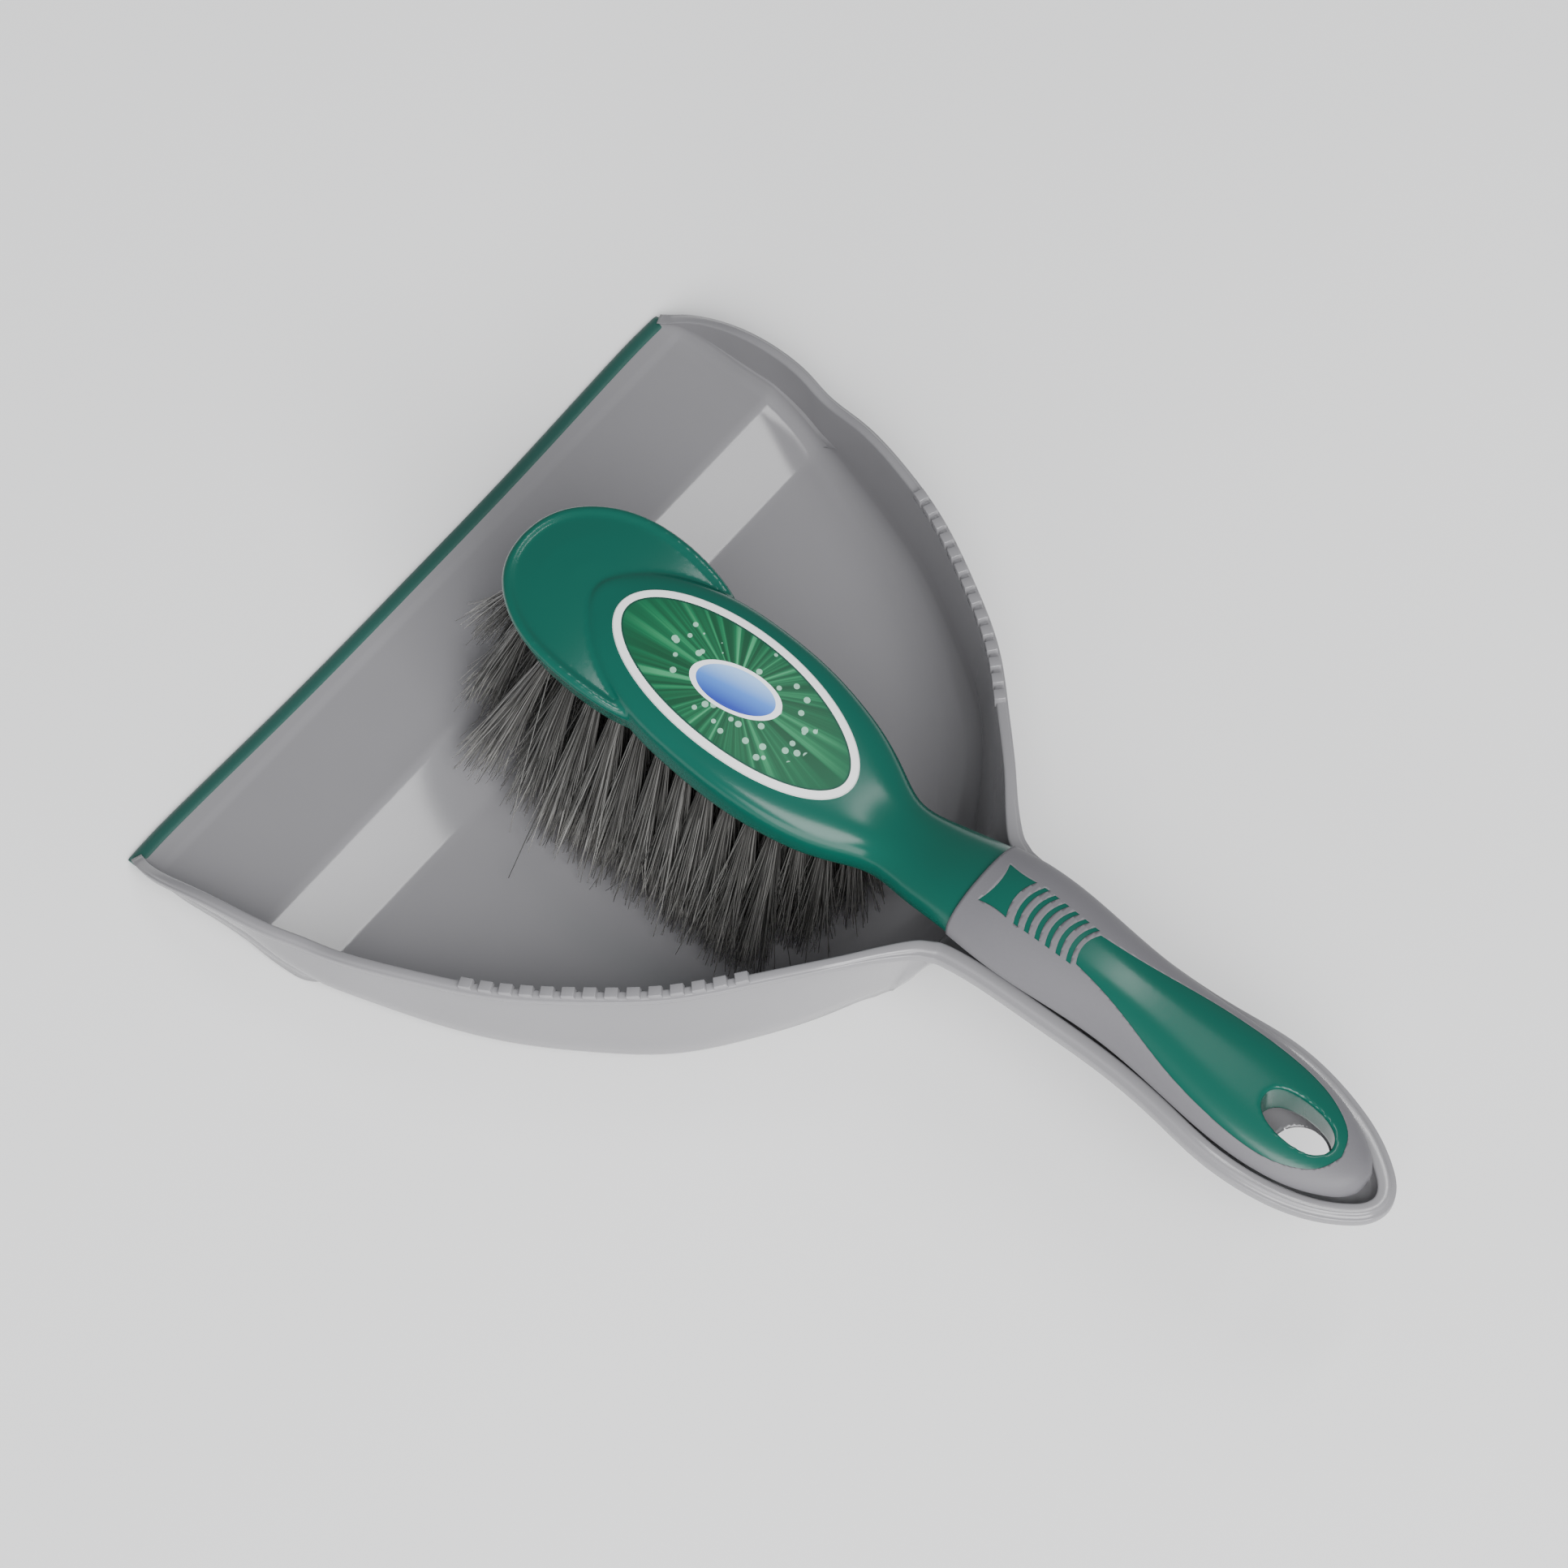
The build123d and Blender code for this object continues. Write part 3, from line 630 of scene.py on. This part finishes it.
side = smooth_path(BOW_TIE_SIDE, 9)
windows = [[tuple(p) for p in side] + arc(220.8, 6.4, 1.6)[::-1][1:-1]
           + [(x, -y) for x, y in side[::-1]] + arc(211.8, 6.7, -1.35)[1:-1]]
for i in range(SLOTS):
    half_width = 6.7 - 0.1 * i
    x = SLOT_START + SLOT_PITCH * i
    windows.append(arc(x - SLOT_HALF, half_width) + arc(x + SLOT_HALF, half_width)[::-1])
side = smooth_path(TEARDROP_SIDE, 60)
windows.append([tuple(p) for p in side] + [(x, -y) for x, y in side[-2::-1]] + arc(243, 5.3, 1.6)[1:-1])

grip = new_piece("grip_sleeve", *grip_tube(0, GRIP_FRONT), grip_rubber, "brush")
outwards(grip)
cut(grip, [prism(window, WINDOW_FLOOR, CUT_TO) for window in windows])
cut(grip, [hanging_hole(1.03, 1.05)])
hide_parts("brush_grip")

# ---- brush: oval label ---------------------------------------------------------------------------
LABEL_X, LABEL_HALF = 124.6, (39.6, 18.4)
LABEL_UNIT = 20              # millimetres to one unit of the label's own coordinates
WHITE_RING, DARK_LINE = 2.3, 0.55
FILM_EDGE, FILM_TOP = 0.06, 0.24
SQUARE_INSET = 3.1           # up to here the rings keep their distance from the edge
INSETS = np.array([0, 0.12, 0.3, 0.8, 1.5, 2.2, 2.4, 2.8, SQUARE_INSET, 4, 5.5, 7, 9, 11, 13, 15, 17,
                   LABEL_HALF[1] - 0.05])
SPOKES = 160


def label_material(name):
    """White ring, dark line, then a green burst of rays with pale spots round a plain blue oval."""
    material, nodes, links, shader = new_material(name)

    def maths(operation, a, b):
        """A node that works on two values; each is a number or a socket."""
        node = nodes.new("ShaderNodeMath")
        node.operation = operation
        for socket, value in zip(node.inputs, (a, b)):
            if isinstance(value, (int, float)):
                socket.default_value = value
            else:
                links.new(value, socket)
        return node.outputs["Value"]

    def root(value):
        """The square root of a value."""
        node = nodes.new("ShaderNodeMath")
        node.operation = "SQRT"
        links.new(value, node.inputs[0])
        return node.outputs["Value"]

    def ramp(value, stops, smooth=True):
        """A colour that changes with a value, smoothly or in steps."""
        node = nodes.new("ShaderNodeValToRGB")
        node.color_ramp.interpolation = "LINEAR" if smooth else "CONSTANT"
        while len(node.color_ramp.elements) < len(stops):
            node.color_ramp.elements.new(1)
        for element, (at, colour) in zip(node.color_ramp.elements, stops):
            element.position, element.color = at, (*colour, 1)
        links.new(value, node.inputs["Fac"])
        return node.outputs["Color"]

    def mix(share, a, b):
        """Two colours mixed; each is a colour or a socket."""
        node = nodes.new("ShaderNodeMix")
        node.data_type = "RGBA"
        links.new(share, node.inputs[0])
        for socket, value in ((node.inputs[6], a), (node.inputs[7], b)):
            if isinstance(value, tuple):
                socket.default_value = (*value, 1)
            else:
                links.new(value, socket)
        return node.outputs[2]

    def layer(name):
        """A layer of the label's own coordinates, whole and split into two."""
        uv = nodes.new("ShaderNodeUVMap")
        uv.uv_map = name
        split = nodes.new("ShaderNodeSeparateXYZ")
        links.new(uv.outputs["UV"], split.inputs["Vector"])
        return uv.outputs["UV"], split.outputs["X"], split.outputs["Y"]

    def multiply(a, b):
        """The product of two values."""
        return maths("MULTIPLY", a, b)

    plan, u, v = layer("plan")
    _, inset, _ = layer("inset")
    angle = maths("ARCTAN2", v, u)
    radius = root(maths("ADD", multiply(u, u), multiply(multiply(v, v), 2.6)))
    rays = nodes.new("ShaderNodeTexNoise")
    rays.noise_dimensions = "1D"
    rays.inputs["Scale"].default_value = 7
    rays.inputs["Detail"].default_value = 4
    links.new(angle, rays.inputs["W"])
    burst = ramp(rays.outputs["Fac"], [(0.40, (0.002, 0.05, 0.02)), (0.52, (0.004, 0.10, 0.04)),
                                       (0.60, (0.012, 0.18, 0.07)), (0.72, (0.05, 0.31, 0.14))])
    glow = ramp(multiply(radius, 0.5),
                [(0.0, (1, 1, 1)), (0.6, (0.75, 0.75, 0.75)), (0.98, (0.1, 0.1, 0.1))])
    burst = mix(glow, (0.003, 0.075, 0.035), burst)
    spots = nodes.new("ShaderNodeTexVoronoi")
    spots.inputs["Scale"].default_value = 5.6
    links.new(plan, spots.inputs["Vector"])
    near = multiply(maths("LESS_THAN", spots.outputs["Distance"], 0.26),
                    multiply(maths("LESS_THAN", radius, 1.25), 0.5))
    burst = mix(near, burst, (0.45, 0.8, 0.62))
    tilt_u = maths("ADD", multiply(u, 0.97), multiply(v, 0.24))
    tilt_v = maths("SUBTRACT", multiply(v, 0.97), multiply(u, 0.24))
    in_badge = root(maths("ADD", maths("POWER", maths("DIVIDE", tilt_u, 0.66), 2.0),
                          maths("POWER", maths("DIVIDE", tilt_v, 0.34), 2.0)))
    badge = ramp(maths("ADD", multiply(tilt_v, 1.2), 0.5),
                 [(0.2, (0.02, 0.045, 0.33)), (0.5, (0.06, 0.2, 0.62)), (0.8, (0.30, 0.52, 0.85))])
    badge = mix(maths("GREATER_THAN", in_badge, 0.86), badge, (0.82, 0.84, 0.88))
    burst = mix(maths("LESS_THAN", in_badge, 1.0), burst, badge)
    ring_end, line_end = WHITE_RING / LABEL_UNIT, (WHITE_RING + DARK_LINE) / LABEL_UNIT
    edge = ramp(inset, [(0.0, (0.50, 0.56, 0.54)), (0.012, (0.78, 0.79, 0.79)),
                        (ring_end, (0.003, 0.05, 0.03)), (line_end, (0, 0, 0))], smooth=False)
    colour = mix(maths("GREATER_THAN", inset, line_end), edge, burst)
    links.new(colour, shader.inputs["Base Color"])
    shader.inputs["Roughness"].default_value = 0.38
    shader.inputs["Specular IOR Level"].default_value = 0.3
    return material


bpy.context.view_layer.update()
a, b = LABEL_HALF
points, uv_plan, uv_inset = [], [], []
for step in INSETS:
    slide = min(step, SQUARE_INSET)
    shrink = 1 - (step - slide) / (b - slide)
    for turn in (2 * math.pi * j / SPOKES for j in range(SPOKES)):
        square = np.array([math.cos(turn) / a, math.sin(turn) / b])
        square /= np.linalg.norm(square)
        x = (a * math.cos(turn) - square[0] * slide) * shrink
        y = (b * math.sin(turn) - square[1] * slide) * shrink
        points.append((LABEL_X + x, y, top_of(head, LABEL_X + x, y) + (FILM_TOP if step else FILM_EDGE)))
        uv_plan.append((x / LABEL_UNIT, y / LABEL_UNIT))
        uv_inset.append((step / LABEL_UNIT, 0))
centre = end_caps(len(INSETS), SPOKES)[1][::-1]
label_faces = grid_faces(len(INSETS), SPOKES, close_columns=True) + [centre]
label = new_piece("oval_label", points, label_faces, label_material("label_film"), "brush")
for name, values in (("plan", uv_plan), ("inset", uv_inset)):
    layer = label.data.uv_layers.new(name=name)
    for loop in label.data.loops:
        layer.data[loop.index].uv = values[loop.vertex_index]
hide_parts("brush_label")

# ---- brush: bristles -----------------------------------------------------------------------------
# Place to the side, first tuft, number of tufts, and lean to the side in degrees.
TUFT_ROWS = {"tufts_far_edge": (16.5, 76, 11, 14), "tufts_far": (8.5, 64, 14, 7),
             "tufts_middle": (0, 59, 15, 0), "tufts_near": (-8.5, 64, 14, -7),
             "tufts_near_edge": (-16.5, 76, 11, -14)}
TUFT_PITCH, TUFT_ROOT = 7.6, 1.5
TUFT_DEPTH = 1.0             # how far inside the head the fibres start
FRONT_LEAN = 26.0            # degrees forward at the front of the head
FRONT_REACH = 48.0           # how far back that is felt
TIP_Z, TIP_RISE = 4.4, 9.0   # height of the tips, and how much higher they are at the front
LOWEST_TIP = 2.2
FIBRES = 135                 # in a tuft
FIBRE_RADIUS = 0.185
STEPS = 6                    # triangles along a fibre
LOOSE_SHARE = 0.03           # of the fibres, which stray more than the others
CURL_START = 0.62            # share of its length from which a fibre curls


def fibres(side, first, count, lean):
    """Points of one row of tufts, with each one's share along its fibre and the fibre's own number."""
    points, coordinates = [], []
    for i in range(count):
        x = first + i * TUFT_PITCH
        front = max(0.0, 1 - (x - HEAD[0][0]) / FRONT_REACH)
        top = underside(x) + TUFT_DEPTH
        forward = math.radians(FRONT_LEAN * front + rng.normal(0, 1.2))
        sideways = math.radians(lean + rng.normal(0, 1.0))
        aim = np.array([-math.tan(forward), math.tan(sideways), -1.0])
        length = (top - TIP_Z - TIP_RISE * front) * np.linalg.norm(aim) * (1 + rng.normal(0, 0.012))
        aim /= np.linalg.norm(aim)
        for _ in range(FIBRES):
            turn, reach = rng.uniform(0, 2 * math.pi), math.sqrt(rng.uniform())
            spoke = np.array([math.cos(turn), math.sin(turn), 0]) * reach
            root = np.array([x, side, top]) + spoke * TUFT_ROOT
            loose = rng.uniform() < LOOSE_SHARE
            flare = spoke * rng.uniform(3.4, 7.2) + rng.normal(0, 6 if loose else 1.3, 3) * (1, 1, 0)
            size = length * (1 - abs(rng.normal(0, 0.03)) + (0.04 if loose else 0))
            curl_turn = rng.uniform(0, 2 * math.pi)
            curl = np.array([math.cos(curl_turn), math.sin(curl_turn), 0.25]) * rng.gamma(1.6, 0.75)
            wave = rng.normal(0, 0.35, 3)
            share = np.linspace(0, 1, STEPS)[:, None]
            line = (root + aim * size * share + flare * share ** 1.25
                    + curl * np.clip(share - CURL_START, 0, 1) ** 2 * 7
                    + wave * np.sin(share * math.pi * 1.5))
            thick = (FIBRE_RADIUS * (1 - 0.4 * share ** 2)) * rng.uniform(0.8, 1.15)
            spin = rng.uniform(0, 2 * math.pi)
            own = rng.uniform()
            for k in range(STEPS):
                for corner in range(3):
                    angle = spin + corner * 2 * math.pi / 3
                    points.append(line[k] + np.array([math.cos(angle), math.sin(angle), 0]) * thick[k])
                    coordinates.append((share[k, 0] ** 1.4, own))
    return np.array(points), coordinates


for name, (side, first, count, lean) in TUFT_ROWS.items():
    points, coordinates = fibres(side, first, count, lean)
    points[:, 2] = np.maximum(points[:, 2], LOWEST_TIP)
    faces = []
    for start in range(0, len(points), 3 * STEPS):
        for k in range(STEPS - 1):
            a = start + 3 * k
            for corner in range(3):
                b = (corner + 1) % 3
                faces.append((a + corner, a + 3 + corner, a + 3 + b, a + b))
        faces.append((start + 3 * STEPS - 3, start + 3 * STEPS - 1, start + 3 * STEPS - 2))
    row = new_piece(name.replace("tufts", "bristles"), points, faces, fibre, "brush")
    layer = row.data.uv_layers.new(name="fibre")
    uvs = np.array(coordinates)[[loop.vertex_index for loop in row.data.loops]]
    layer.data.foreach_set("uv", uvs.reshape(-1))
    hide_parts(name)

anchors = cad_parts["tuft_anchors"]
anchors.data.materials.clear()
anchors.data.materials.append(anchor_wire)


# ---- floor, light and camera ---------------------------------------------------------------------
FLOOR_HALF, FLOOR_LEVEL = 4, -0.0002         # metres

corners = [(x * FLOOR_HALF, y * FLOOR_HALF, FLOOR_LEVEL) for x, y in ((-1, -1), (1, -1), (1, 1), (-1, 1))]
floor = mesh_object("floor", corners, [(0, 1, 2, 3)])
floor.data.materials.append(floor_paper)

TARGET = Vector((MOUTH + 133.31 * MM, 9.46 * MM, 25 * MM))
AZIMUTH, ELEVATION = 39.35, 62.5             # of the camera, in degrees
DISTANCE, LENS = 1.7647, 149.1               # metres, and millimetres on a 36 mm sensor


def aimed(thing, spot, target):
    """Moves a light or the camera to a spot and points it at a target."""
    thing.location = spot
    thing.rotation_euler = (target - spot).to_track_quat("-Z", "Y").to_euler()


def soft_light(name, way, distance, size, power, turn=0.0):
    """A soft box that faces the object from some way off, turned in degrees about its own axis."""
    lamp = bpy.data.lights.new(name, "AREA")
    lamp.shape, lamp.energy = "RECTANGLE", power
    lamp.size, lamp.size_y = size
    box = bpy.data.objects.new(name, lamp)
    bpy.context.scene.collection.objects.link(box)
    aimed(box, TARGET + Vector(way).normalized() * distance, TARGET)
    box.rotation_euler.rotate_axis("Z", math.radians(turn))


soft_light("key", (0.6, -0.4, 0.82), 2.8, (1.8, 1.8), 125)
soft_light("side", (0.5, -1.0, 0.36), 2.6, (1.4, 1.4), 35)
soft_light("over", (0.088, 0.345, 0.935), 1.654, (0.13, 0.66), 3.8, 15.5)
world = bpy.data.worlds.new("studio")
bpy.context.scene.world = world
world.use_nodes = True
world.node_tree.nodes["Background"].inputs["Color"].default_value = (0.95, 0.97, 1.0, 1)
world.node_tree.nodes["Background"].inputs["Strength"].default_value = 0.42

turn, climb = math.radians(AZIMUTH), math.radians(ELEVATION)
back = Vector((math.sin(turn) * math.cos(climb), -math.cos(turn) * math.cos(climb), math.sin(climb)))
lens = bpy.data.cameras.new("camera")
lens.lens, lens.sensor_width = LENS, 36
camera = bpy.data.objects.new("camera", lens)
bpy.context.scene.collection.objects.link(camera)
aimed(camera, TARGET + back * DISTANCE, TARGET)
bpy.context.scene.camera = camera
